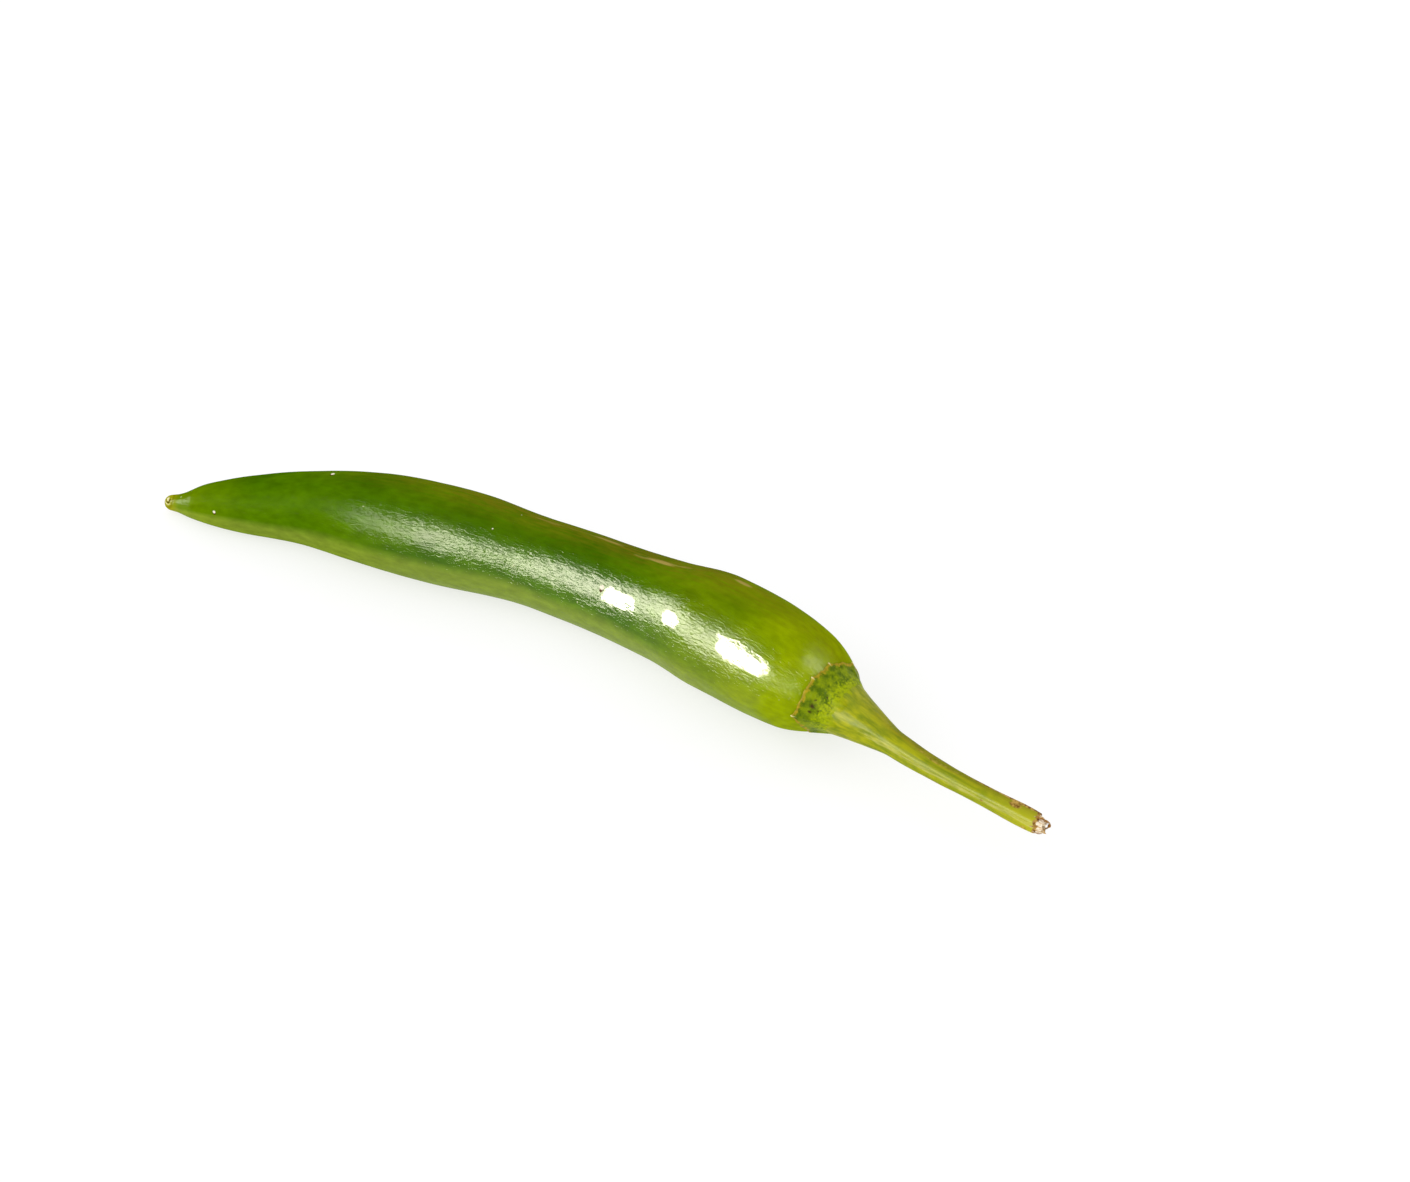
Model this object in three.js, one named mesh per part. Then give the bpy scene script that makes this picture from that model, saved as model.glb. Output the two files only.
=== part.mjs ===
// A green chilli pepper as picked: a long tapered pod, the toothed calyx that caps its shoulder,
// and the stem that grows through the calyx. It lies on its side on a level surface at z = 0,
// bowed to one side, with the blossom tip towards -X and the cut end of the stem towards +X.
// Millimetres, +Z up, origin on the surface under the middle of the pepper's box.
import * as THREE from "three";

// Driving sizes.
const POD_LENGTH = 136; // along the centre line, from the blossom tip to the seat of the stem
const POD_DIAMETER = 19.8; // at the widest place, near the shoulder
const SHOULDER_LENGTH = 19.5; // the stretch over which the pod rounds in to the seat
const SEAT_MARGIN = 0.4; // how far the flat seat on the pod's end reaches past the stem's foot
const TIP_RADIUS = 1.25; // the blunt blossom tip
const BOW = 14; // how far the middle of the pepper swings towards +Y
const LOBE_COUNT = 3; // the pod's long lobes
const LOBE_DEPTH = 0.2; // how far they swell and sink
const LOBE_TURN = 2.2; // radians that they turn round the pod from tip to seat

const CALYX_DIAMETER = 14.3; // across the teeth, where they lie on the shoulder
const CALYX_EDGE = 0.4; // thickness of the rim
const CALYX_NECK = 1.8; // how far the calyx climbs the stem beyond the seat
const CALYX_LIP = 0.25; // thickness of the calyx where it meets the stem
const CALYX_FULLNESS = 0.35; // how full its flank is, from 0, straight from rim to lip, to 0.5
const RIM_HOLLOW = 0.5; // how far the rim curves in between two teeth, for each radian apart

const STEM_LENGTH = 43; // from the seat to the cut end
const STEM_DIAMETER = 3.2; // of the stem's slender part
const STEM_FOOT_DIAMETER = 9.6; // where it stands on the pod
const RIB_DEPTH = 0.07; // of the stem's long ribs
const RIB_COUNT = 5;

const CLEARANCE = 0.3; // between the pod, the calyx and the stem

const POD_RADIUS = POD_DIAMETER / 2;
const SEAT_RADIUS = STEM_FOOT_DIAMETER / 2 + SEAT_MARGIN;
const TOTAL_LENGTH = POD_LENGTH + STEM_LENGTH;
const POD_SIDES = 32;
const CALYX_SIDES = 72;
const STEM_SIDES = 20;
const STEM_STEPS = 28;

// The centre line from tip to cut end: share of the whole length, share of the bow, and height
// as a share of the pod's radius. The height follows the girth, so the underside lies level.
const CENTRE_LINE = [
  [0.0, -0.07, 0.15],
  [0.061, 0.09, 0.4],
  [0.144, 0.42, 0.625],
  [0.236, 0.6, 0.825],
  [0.35, 0.85, 0.855],
  [0.442, 1.0, 0.79],
  [0.534, 0.96, 0.85],
  [0.627, 0.81, 0.985],
  [0.707, 0.64, 0.98],
  [0.787, 0.4, 0.92],
  [0.879, 0.15, 0.85],
  [1.0, 0.0, 0.76],
];

// The pod's girth from the tip to the shoulder: share of the pod's length and share of its radius.
const GIRTH = [
  [0.043, 0.28],
  [0.073, 0.38],
  [0.156, 0.575],
  [0.215, 0.668],
  [0.332, 0.85],
  [0.396, 0.872],
  [0.45, 0.858],
  [0.526, 0.785],
  [0.589, 0.806],
  [0.671, 0.828],
  [0.735, 0.885],
  [0.796, 0.985],
];

// The stem's girth: share of its length, and how far the radius still has to come down to the
// slender part's, from 1 at the foot to 0.
const STEM_TAPER = [
  [0.0, 1.0],
  [0.047, 0.95],
  [0.07, 0.9],
  [0.116, 0.74],
  [0.163, 0.59],
  [0.233, 0.38],
  [0.302, 0.21],
  [0.372, 0.14],
  [0.465, 0.09],
  [0.558, 0.03],
  [0.674, 0.0],
  [0.93, 0.01],
  [1.0, -0.05],
];

// The calyx's teeth: where each points, in degrees round the centre line, with 0 level towards
// +Y and 90 up, and how far out it reaches as a share of the calyx's radius.
const TEETH = [
  [40, 0.97],
  [96, 0.98],
  [128, 0.99],
  [188, 1.01],
  [236, 0.96],
  [285, 0.99],
  [340, 0.97],
];

// The curve through the centre line's points, stretched along X until it is as long as it should be.
function makeCentreLine() {
  let reach = TOTAL_LENGTH;
  let curve;
  for (let pass = 0; pass < 4; pass++) {
    const points = CENTRE_LINE.map(
      ([along, bow, height]) => new THREE.Vector3(along * reach, bow * BOW, height * POD_RADIUS),
    );
    curve = new THREE.CatmullRomCurve3(points, false, "catmullrom", 0.5);
    reach *= TOTAL_LENGTH / curve.getLength();
  }
  return curve;
}

const centreLine = makeCentreLine();
const UP = new THREE.Vector3(0, 0, 1);

// The point at a distance along the centre line, a radius away from it, at an angle round it.
function place(distance, radius, angle) {
  const share = THREE.MathUtils.clamp(distance / TOTAL_LENGTH, 0, 1);
  const forward = centreLine.getTangentAt(share);
  const side = new THREE.Vector3().crossVectors(UP, forward).normalize();
  const top = new THREE.Vector3().crossVectors(forward, side);
  return centreLine
    .getPointAt(share)
    .addScaledVector(side, radius * Math.cos(angle))
    .addScaledVector(top, radius * Math.sin(angle));
}

// Turns a profile of (across, along) points into a ring of vertices and moves each to its place.
function turnAndPlace(profile, sides, placeVertex) {
  const geometry = new THREE.LatheGeometry(profile, sides);
  const position = geometry.getAttribute("position");
  for (let i = 0; i < position.count; i++) {
    const across = Math.hypot(position.getX(i), position.getZ(i));
    const angle = Math.atan2(position.getX(i), position.getZ(i));
    const point = placeVertex(across, position.getY(i), angle);
    position.setXYZ(i, point.x, point.y, point.z);
  }
  geometry.computeVertexNormals();
  return geometry;
}

// The low lobes run the pod's length, turning a little on the way, and fade at both ends.
function lobe(distance, angle) {
  const share = THREE.MathUtils.clamp(distance / POD_LENGTH, 0, 1);
  return LOBE_DEPTH * Math.sin(Math.PI * share) * Math.cos(LOBE_COUNT * angle + LOBE_TURN * share);
}

// The shoulder rounds in from the pod's full girth to the seat as a quarter of an ellipse.
// Gives the point (radius, distance) at a share of the way along, and the outward normal there.
function shoulderPoint(share) {
  const radius = SEAT_RADIUS + (POD_RADIUS - SEAT_RADIUS) * Math.sqrt(1 - share * share);
  return new THREE.Vector2(radius, POD_LENGTH - SHOULDER_LENGTH * (1 - share));
}

function shoulderNormal(share) {
  return new THREE.Vector2(
    SHOULDER_LENGTH * Math.sqrt(1 - share * share),
    (POD_RADIUS - SEAT_RADIUS) * share,
  ).normalize();
}

// The pod: a blunt round tip, the curve of its girth, the rounded shoulder and the flat seat.
function makePod() {
  const tipSteps = 3;
  const girthSteps = 36;
  const shoulderSteps = 9;
  const quarter = Math.PI / 2;
  const outline = [];
  for (let i = 0; i <= tipSteps; i++) {
    const turn = (quarter * i) / tipSteps;
    outline.push(new THREE.Vector2(TIP_RADIUS * Math.sin(turn), TIP_RADIUS * (1 - Math.cos(turn))));
  }
  const girth = new THREE.SplineCurve([
    outline[tipSteps],
    ...GIRTH.map(([along, share]) => new THREE.Vector2(share * POD_RADIUS, along * POD_LENGTH)),
    shoulderPoint(0),
  ]);
  outline.push(...girth.getSpacedPoints(girthSteps).slice(1));
  for (let i = 1; i <= shoulderSteps; i++) {
    outline.push(shoulderPoint(Math.sin((quarter * i) / shoulderSteps)));
  }
  outline.push(new THREE.Vector2(0, POD_LENGTH));
  return turnAndPlace(outline, POD_SIDES, (across, distance, angle) => {
    const swell = lobe(distance, angle) * Math.min(1, across / SEAT_RADIUS);
    return place(distance, across + swell, angle);
  });
}

// The stem's outline as (radius, height over the seat), and its radius at a height.
const slender = STEM_DIAMETER / 2;
const stemOutline = new THREE.SplineCurve(
  STEM_TAPER.map(([along, share]) => new THREE.Vector2(
    THREE.MathUtils.lerp(slender, STEM_FOOT_DIAMETER / 2, share),
    along * STEM_LENGTH,
  )),
).getSpacedPoints(STEM_STEPS);

function stemRadius(height) {
  const after = Math.max(1, stemOutline.findIndex((point) => point.y >= height));
  const [low, high] = [stemOutline[after - 1], stemOutline[after]];
  return THREE.MathUtils.mapLinear(height, low.y, high.y, low.x, high.x);
}

// The calyx's rim curves in between its teeth. Gives the radius at which it lies on the shoulder.
function rimRadius(angle) {
  const degrees = THREE.MathUtils.euclideanModulo(THREE.MathUtils.radToDeg(angle), 360);
  const next = Math.max(0, TEETH.findIndex(([at]) => at > degrees));
  const [toAt, toReach] = TEETH[next];
  const [fromAt, fromReach] = TEETH.at(next - 1);
  const turn = THREE.MathUtils.euclideanModulo(toAt - fromAt, 360);
  const done = THREE.MathUtils.euclideanModulo(degrees - fromAt, 360) / turn;
  const hollow = RIM_HOLLOW * THREE.MathUtils.degToRad(turn) * 4 * done * (1 - done);
  return (CALYX_DIAMETER / 2) * THREE.MathUtils.lerp(fromReach, toReach, done) - hollow;
}

// How far along the shoulder its outline comes down to a radius.
function shoulderShareAt(radius) {
  const drop = THREE.MathUtils.clamp((radius - SEAT_RADIUS) / (POD_RADIUS - SEAT_RADIUS), 0, 1);
  return Math.sqrt(1 - drop * drop);
}

// The calyx: a ring that follows the shoulder underneath and the stem's foot inside, and sweeps
// from the rim to a lip round the stem on top. The lathe's profile only counts its vertices, as
// (share of the way out to the rim, share of the way up), and each is then given its place.
function makeCalyx() {
  const outSteps = 7;
  const wallSteps = 2;
  const offset = 1; // keeps the profile off the lathe's axis
  const profile = [];
  for (let i = 0; i <= outSteps; i++) profile.push(new THREE.Vector2(offset + i / outSteps, 0));
  for (let i = outSteps; i >= 0; i--) profile.push(new THREE.Vector2(offset + i / outSteps, 1));
  for (let i = wallSteps - 1; i >= 0; i--) profile.push(new THREE.Vector2(offset, i / wallSteps));

  const lipHeight = POD_LENGTH + CALYX_NECK;
  const boreRadius = (distance) => stemRadius(distance - POD_LENGTH) + CLEARANCE;
  const lip = new THREE.Vector2(boreRadius(lipHeight) + CALYX_LIP, lipHeight);
  const inner = shoulderPoint(1).addScaledVector(shoulderNormal(1), CLEARANCE);

  return turnAndPlace(profile, CALYX_SIDES, (shifted, layer, angle) => {
    const out = THREE.MathUtils.clamp(shifted - offset, 0, 1);
    const rimShare = shoulderShareAt(rimRadius(angle));
    const rim = shoulderPoint(rimShare);
    const rimNormal = shoulderNormal(rimShare);
    if (out === 0 && layer < 1) {
      const distance = THREE.MathUtils.lerp(inner.y, lipHeight, layer);
      return place(distance, boreRadius(distance), angle);
    }
    if (layer === 0) {
      const share = THREE.MathUtils.lerp(1, rimShare, out);
      const under = shoulderPoint(share).addScaledVector(shoulderNormal(share), CLEARANCE);
      return place(under.y, under.x + lobe(under.y, angle), angle);
    }
    const brim = rim.clone().addScaledVector(rimNormal, CLEARANCE + CALYX_EDGE);
    const uphill = new THREE.Vector2(-rimNormal.y, rimNormal.x);
    const bend = brim.clone().addScaledVector(uphill, CALYX_FULLNESS * brim.distanceTo(lip));
    const over = new THREE.QuadraticBezierCurve(lip, bend, brim).getPoint(out);
    return place(over.y, over.x + lobe(over.y, angle) * out, angle);
  });
}

// The stem: a broad foot on the seat, a flare, and a slender ribbed stalk to the cut end.
function makeStem() {
  const outline = [
    new THREE.Vector2(0, CLEARANCE),
    new THREE.Vector2(stemRadius(CLEARANCE), CLEARANCE),
    ...stemOutline.filter((point) => point.y > 2 * CLEARANCE),
    new THREE.Vector2(0, STEM_LENGTH),
  ];
  return turnAndPlace(outline, STEM_SIDES, (across, height, angle) => {
    const ribbed = height > 2 * CALYX_NECK && across > 0;
    const rib = ribbed ? RIB_DEPTH * Math.cos(RIB_COUNT * angle) : 0;
    return place(POD_LENGTH + height, across + rib, angle);
  });
}

function makeMesh(name, geometry, colour, roughness) {
  const material = new THREE.MeshStandardMaterial({ color: colour, roughness, metalness: 0 });
  const mesh = new THREE.Mesh(geometry, material);
  mesh.name = name;
  return mesh;
}

const pepper = new THREE.Group();
pepper.add(makeMesh("pod", makePod(), 0x4a7a08, 0.25));
pepper.add(makeMesh("calyx", makeCalyx(), 0x5a7d14, 0.55));
pepper.add(makeMesh("stem", makeStem(), 0x93a423, 0.5));

// Rests on z = 0 with the middle of its box over the origin.
const box = new THREE.Box3().setFromObject(pepper, true);
const middle = box.getCenter(new THREE.Vector3());
pepper.position.set(-middle.x, -middle.y, -box.min.z);

export default pepper;
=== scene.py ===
import math

import bpy
import numpy as np
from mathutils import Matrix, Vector, noise


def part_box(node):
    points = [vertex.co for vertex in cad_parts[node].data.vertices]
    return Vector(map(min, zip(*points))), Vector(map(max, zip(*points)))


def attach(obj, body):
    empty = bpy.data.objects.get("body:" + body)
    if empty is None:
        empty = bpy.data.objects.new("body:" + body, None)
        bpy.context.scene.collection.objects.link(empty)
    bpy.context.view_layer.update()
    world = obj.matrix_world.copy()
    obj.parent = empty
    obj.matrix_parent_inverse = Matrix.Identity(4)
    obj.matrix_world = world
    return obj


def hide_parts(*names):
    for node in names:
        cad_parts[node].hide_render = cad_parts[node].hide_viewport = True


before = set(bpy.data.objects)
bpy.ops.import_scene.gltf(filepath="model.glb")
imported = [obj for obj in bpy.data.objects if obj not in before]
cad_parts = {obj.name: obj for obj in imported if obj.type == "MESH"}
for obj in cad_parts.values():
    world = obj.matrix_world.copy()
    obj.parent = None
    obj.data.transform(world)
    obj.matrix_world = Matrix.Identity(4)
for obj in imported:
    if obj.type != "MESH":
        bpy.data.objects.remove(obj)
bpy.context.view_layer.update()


# ---- The pod -----------------------------------------------------------------------------------
# The fruit: a hollow berry with a firm, waxy, glossy skin, grown in one piece. It tapers from a
# full shoulder to a small pale tip, where the dried style broke off and left a scar. It lies on
# its side, bowed, and was greenest where leaves shaded it.

MM = 0.001
POD_LENGTH = 136
POD_RADIUS = 9.9
SHOULDER_LENGTH = 19.5
SEAT_RADIUS = 5.2
STEM_LENGTH = 43
TOTAL_LENGTH = POD_LENGTH + STEM_LENGTH
BOW = 14
LOBE_COUNT = 3
LOBE_DEPTH = 0.2
LOBE_TURN = 2.2

# The centre line from tip to cut end: share of the length, share of the bow, and height as a
# share of the pod's radius.
CENTRE_LINE = [
    (0.0, -0.07, 0.15), (0.061, 0.09, 0.4), (0.144, 0.42, 0.625), (0.236, 0.6, 0.825),
    (0.35, 0.85, 0.855), (0.442, 1.0, 0.79), (0.534, 0.96, 0.85), (0.627, 0.81, 0.985),
    (0.707, 0.64, 0.98), (0.787, 0.4, 0.92), (0.879, 0.15, 0.85), (1.0, 0.0, 0.76),
]

# The pod's girth: millimetres from the tip, and radius. The first few make the tip's small knob.
GIRTH = [
    (0.0, 0.5), (0.2, 0.95), (0.8, 1.34), (1.6, 1.52), (2.6, 1.74), (3.8, 2.15), (5.85, 2.82),
    (9.9, 3.85), (15.2, 4.9), (21.2, 5.7), (29.2, 6.61), (37.5, 7.7), (45.2, 8.4), (53.9, 8.63),
    (61.2, 8.49), (71.5, 7.77), (80.1, 7.98), (91.3, 8.2), (100.0, 8.76), (108.3, 9.75),
    (112.5, 9.88),
]


def curve_through(points, steps):
    """Catmull-Rom curve through the points, with a number of steps in each gap."""
    points = np.array(points, float)
    padded = np.vstack([2 * points[0] - points[1], points, 2 * points[-1] - points[-2]])
    t = np.linspace(0, 1, steps, endpoint=False)[:, None]
    spans = []
    for before, start, end, after in zip(padded, padded[1:], padded[2:], padded[3:]):
        leave, arrive = (end - before) / 2, (after - start) / 2
        spans.append(
            start
            + leave * t
            + (3 * (end - start) - 2 * leave - arrive) * t**2
            + (2 * (start - end) + leave + arrive) * t**3
        )
    return np.vstack(spans + [points[-1:]])


def make_centre_line():
    """The centre line as distances along it and points on it, stretched to its real length."""
    reach = TOTAL_LENGTH
    for _ in range(4):
        scale = np.array([reach, BOW, POD_RADIUS])
        line = curve_through(np.array(CENTRE_LINE) * scale, 60)
        gaps = np.linalg.norm(np.diff(line, axis=0), axis=1)
        distances = np.concatenate([[0], np.cumsum(gaps)])
        reach *= TOTAL_LENGTH / distances[-1]
    return distances, line


line_distances, line_points = make_centre_line()


def at_distance(distance, values):
    return np.stack([np.interp(distance, line_distances, values[:, k]) for k in range(3)], -1)


def place(distance, radius, angle):
    """Points a radius away from the centre line, in millimetres: angle 0 is +Y, 90 degrees up."""
    distance, radius, angle = np.broadcast_arrays(distance, radius, angle)
    step = 0.5
    ahead = at_distance(np.clip(distance + step, 0, TOTAL_LENGTH), line_points)
    behind = at_distance(np.clip(distance - step, 0, TOTAL_LENGTH), line_points)
    forward = (ahead - behind) / np.linalg.norm(ahead - behind, axis=-1, keepdims=True)
    side = np.cross([0.0, 0.0, 1.0], forward)
    side /= np.linalg.norm(side, axis=-1, keepdims=True)
    top = np.cross(forward, side)
    centre = at_distance(distance, line_points)
    turned = side * np.cos(angle)[..., None] + top * np.sin(angle)[..., None]
    return centre + turned * radius[..., None]


def straightened(distance, radius, angle):
    """The same points as they would lie if the pepper were straight: a place for its patterns."""
    distance, radius, angle = np.broadcast_arrays(distance, radius, angle)
    return np.stack([distance, radius * np.cos(angle), radius * np.sin(angle)], -1)


def wander(points, size, seed):
    """Smooth noise from -1 to 1 at each point, with bumps about as far apart as size."""
    flat = points.reshape(-1, 3) / size + seed * 17.3
    values = [noise.noise(Vector(point)) for point in flat.tolist()]
    return np.array(values).reshape(points.shape[:-1])


def bell(value, centre, width):
    return np.exp(-(((value - centre) / width) ** 2))


def angle_off(angle, degrees):
    """How far an angle is from another one given in degrees, as degrees from -180 to 180."""
    return (np.degrees(angle) - degrees + 180) % 360 - 180


def facing(angle, degrees, width):
    """1 where the angle is the one given in degrees, fading away to both sides of it."""
    return bell(angle_off(angle, degrees), 0, width)


def shoulder_radius(distance):
    share = np.clip((distance - POD_LENGTH + SHOULDER_LENGTH) / SHOULDER_LENGTH, 0, 1)
    return SEAT_RADIUS + (POD_RADIUS - SEAT_RADIUS) * np.sqrt(1 - share**2)


shoulder_start = (POD_LENGTH - SHOULDER_LENGTH, POD_RADIUS)
girth = curve_through(GIRTH + [shoulder_start], 24)


def plain_pod_radius(distance, angle):
    radius = np.interp(distance, girth[:, 0], girth[:, 1])
    radius = np.where(distance > shoulder_start[0], shoulder_radius(distance), radius)
    share = np.clip(distance / POD_LENGTH, 0, 1)
    lobe = LOBE_DEPTH * np.sin(np.pi * share) * np.cos(LOBE_COUNT * angle + LOBE_TURN * share)
    return radius + lobe * np.minimum(1, radius / SEAT_RADIUS)


# The scar of the style: millimetres from the tip and degrees round, and half its size each way.
SCAR_DISTANCE, SCAR_ANGLE = 1.15, 122
SCAR_HALF_LENGTH, SCAR_HALF_ANGLE = 0.62, 34


def from_scar(distance, angle):
    """Distance from the style's scar, in scar radii."""
    along = (distance - SCAR_DISTANCE) / SCAR_HALF_LENGTH
    return np.hypot(along, angle_off(angle, SCAR_ANGLE) / SCAR_HALF_ANGLE)


# Heights and depths that growing left on the pod, in millimetres.
SWELL = 0.16
FINE_SWELL = 0.09
DIMPLE = 0.02
FURROW = 0.16
RIDGE = 0.1
WAVE = 0.1
TIP_PINCH = 0.42
LOWER_PRESS = 0.9
UPPER_PRESS = 0.5
SCAR_POINT = 0.12
SCAR_GROOVE = 0.14

# The waves along the flank: millimetres from the tip, and how many waves have passed there.
WAVES = [(87, -0.5), (94, 0), (101.5, 0.5), (106.5, 1), (112.5, 1.5), (122, 2), (132, 2.5)]


def pod_radius(distance, angle):
    """The pod's surface with everything that growing left on it."""
    distance, angle = np.broadcast_arrays(distance, angle)
    plain = plain_pod_radius(distance, angle)
    spot = straightened(distance, plain, angle)
    body = np.clip((distance - 4) / 20, 0, 1) * np.clip((POD_LENGTH - distance) / 12, 0, 1)
    swells = SWELL * wander(spot, 15, 1) + FINE_SWELL * wander(spot * [0.6, 1, 1], 6, 2)
    dimples = DIMPLE * wander(spot * [0.8, 1, 1], 2.4, 3)
    furrow = FURROW * facing(angle, 203, 9) * bell(distance, 112, 16)
    ridge = RIDGE * facing(angle, 183, 10) * bell(distance, 108, 20)
    # Three low waves along the flank, between the shoulder and the waist.
    passed = np.interp(distance, *np.transpose(WAVES))
    waves = WAVE * np.sin(2 * np.pi * passed) * facing(angle, 142, 26)
    waves = waves * np.clip((distance - 88) / 6, 0, 1)
    # The pod is drawn in a little above the knob, and where the calyx presses on its shoulder.
    pinch = TIP_PINCH * facing(angle, 75, 60) * bell(distance, 4.5, 2.6)
    press = LOWER_PRESS * facing(angle, 224, 34) + UPPER_PRESS * facing(angle, 50, 40)
    press = press * np.clip((distance - POD_LENGTH + 7) / 6, 0, 1) ** 1.5
    # The scar of the style, on the knob's upper side: a curved groove round a raised point.
    scar = from_scar(distance, angle)
    scar = SCAR_POINT * bell(scar, 0, 0.45) - SCAR_GROOVE * bell(scar, 1, 0.25)
    return plain + body * (swells + dimples + ridge + waves - furrow) + scar - pinch - press


# Where the plain pepper has to lie for its pod to fill the frame's pod.
pod_low, pod_high = (np.array(corner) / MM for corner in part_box("pod"))
trial_rows = np.linspace(0, POD_LENGTH, 400)[:, None]
trial_turns = np.linspace(0, 2 * np.pi, 120)
trial = place(trial_rows, plain_pod_radius(trial_rows, trial_turns), trial_turns).reshape(-1, 3)
line_points += (pod_low + pod_high) / 2 - (trial.min(0) + trial.max(0)) / 2


def make_rings(name, points, patterns, closed=False):
    """A smooth mesh from rings of points in millimetres, rows by columns, with its patterns.

    An open stack of rings is capped at both ends. A closed one joins its last ring to its first.
    Several stacks of the same size make one mesh.
    """
    rows, columns = points.shape[-3:-1]
    capped = [] if closed else [0, rows - 1]
    size = rows * columns + len(capped)
    stacks = points.size // (rows * columns * 3)
    faces = []
    for first in range(0, stacks * size, size):
        for row in range(rows if closed else rows - 1):
            low, high = first + row * columns, first + (row + 1) % rows * columns
            for column in range(columns):
                after = (column + 1) % columns
                faces.append((low + column, low + after, high + after, high + column))
        for hub, row in enumerate(capped, first + rows * columns):
            ring = range(first + row * columns, first + (row + 1) * columns)
            for this, after in zip(ring, [*ring[1:], ring[0]]):
                faces.append((hub, after, this) if row == 0 else (hub, this, after))

    def with_hubs(values):
        values = values.reshape(stacks, rows, columns, -1)
        rings = values.reshape(stacks, rows * columns, -1)
        hubs = values[:, capped].mean(2)
        return np.concatenate([rings, hubs], 1).reshape(stacks * size, -1)

    mesh = bpy.data.meshes.new(name)
    mesh.from_pydata((with_hubs(points) * MM).tolist(), [], faces)
    for pattern, values in patterns.items():
        if np.ndim(values) == points.ndim:
            layer = mesh.attributes.new(pattern, "FLOAT_VECTOR", "POINT")
            layer.data.foreach_set("vector", with_hubs(values).ravel())
        else:
            values = np.broadcast_to(values, points.shape[:-1])
            layer = mesh.attributes.new(pattern, "FLOAT", "POINT")
            layer.data.foreach_set("value", with_hubs(values).ravel())
    mesh.polygons.foreach_set("use_smooth", [True] * len(mesh.polygons))
    mesh.update()
    piece = bpy.data.objects.new(name, mesh)
    bpy.context.scene.collection.objects.link(piece)
    return piece


def colour(code):
    """An sRGB hex colour as linear red, green, blue and alpha."""
    parts = [int(code[k : k + 2], 16) / 255 for k in (1, 3, 5)]
    return (*(p / 12.92 if p <= 0.04045 else ((p + 0.055) / 1.055) ** 2.4 for p in parts), 1)


def add(tree, kind, inputs=None, give=None, **settings):
    """Adds a node with its settings, gives its inputs values or links, and returns an output."""
    node = tree.nodes.new("ShaderNode" + kind)
    for setting, value in settings.items():
        setattr(node, setting, value)
    for key, value in (inputs or {}).items():
        named = [s for s in node.inputs if s.name == key and s.enabled]
        socket = named[0] if named else node.inputs[key]
        if isinstance(value, bpy.types.NodeSocket):
            tree.links.new(value, socket)
        else:
            socket.default_value = value
    return node.outputs[give] if give else next(s for s in node.outputs if s.enabled)


# The rows of rings crowd at the tip and at the shoulder, where the pod turns fastest.
TIP_STRETCH = 3.4
ROUND_STRETCH = 12
tip_rows = TIP_STRETCH * np.linspace(0, 1, 28) ** 1.6
body_rows = np.linspace(TIP_STRETCH, POD_LENGTH - ROUND_STRETCH, 420)[1:]
shoulder_rows = POD_LENGTH - ROUND_STRETCH * np.cos(np.linspace(0, np.pi / 2, 40)[1:])
pod_rows = np.concatenate([tip_rows, body_rows, shoulder_rows])[:, None]
pod_turns = np.linspace(0, 2 * np.pi, 184, endpoint=False)[None, :]
skin_radius = pod_radius(pod_rows, pod_turns)
skin_spots = straightened(pod_rows, skin_radius, pod_turns)

# Corky scars, where the skin rubbed as it grew: millimetres from the tip, degrees round, half
# length and half width in millimetres, and how strong.
RUBS = [
    (34, 80, 3.0, 0.3, 0.5), (75, 76, 6, 0.5, 0.5), (85.7, 74, 4.2, 0.45, 0.8),
    (93.5, 83, 2.4, 0.45, 0.6), (98.1, 82, 2.8, 0.6, 0.9), (102.5, 79, 2.2, 0.4, 0.6),
    (113.1, 70, 1.6, 0.6, 1.15), (60, 300, 5, 0.8, 0.5), (104, 262, 4, 0.7, 0.6),
    (84, 20, 3, 0.6, 0.5),
]

# How thick the wax is along the pod: millimetres from the tip, and share of the thickest.
WAX = [
    (0, 0.05), (2.4, 0.05), (3.0, 0.1), (5.4, 0.1), (7.4, 0.003), (34, 0.003), (38, 0.01),
    (46, 0.08), (58, 0.22), (74, 0.27), (90, 0.28), (105, 0.26), (115, 0.24), (126, 0.22),
    (129, 0.04), (136, 0.04),
]

# Where the wax is thickest: millimetres from the tip, degrees round, and half length and half
# width in millimetres.
SHINY = [(94.6, 147, 3.8, 1.42), (106.9, 143.5, 2.15, 1.25), (122.0, 143.5, 5.7, 1.85)]

# The middle of the side that faced the sun, of the side whose wax wore off, and of the side that
# the pod lay on: degrees round.
SUNNY_SIDE = 70
WORN_SIDE = 80
UNDERSIDE = 247

rubbed = np.zeros(skin_radius.shape)
for along, degrees, half_length, half_width, strength in RUBS:
    across = np.radians(angle_off(pod_turns, degrees)) * skin_radius
    off = np.hypot((pod_rows - along) / half_length, across / half_width)
    rubbed += strength * np.clip(1.5 - off, 0, 1)
sunned = facing(pod_turns, SUNNY_SIDE, 27) * np.clip((pod_rows - 25) / 40, 0, 1)
sunned = sunned * np.clip((POD_LENGTH - pod_rows) / 30, 0.4, 1)
ripening = np.clip((pod_rows - 86) / 46, 0, 1) ** 2 + 0.3 * bell(pod_rows, 0, 11)
ripening = ripening + (0.1 + 0.25 * ripening) * wander(skin_spots, 14, 5)
ripening = ripening + 0.45 * ripening * wander(skin_spots * [0.7, 1, 1], 4.5, 8)
knob = 1 - np.clip((pod_rows - 1.2) / 2.6, 0, 1)
scar = from_scar(pod_rows, pod_turns)
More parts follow.
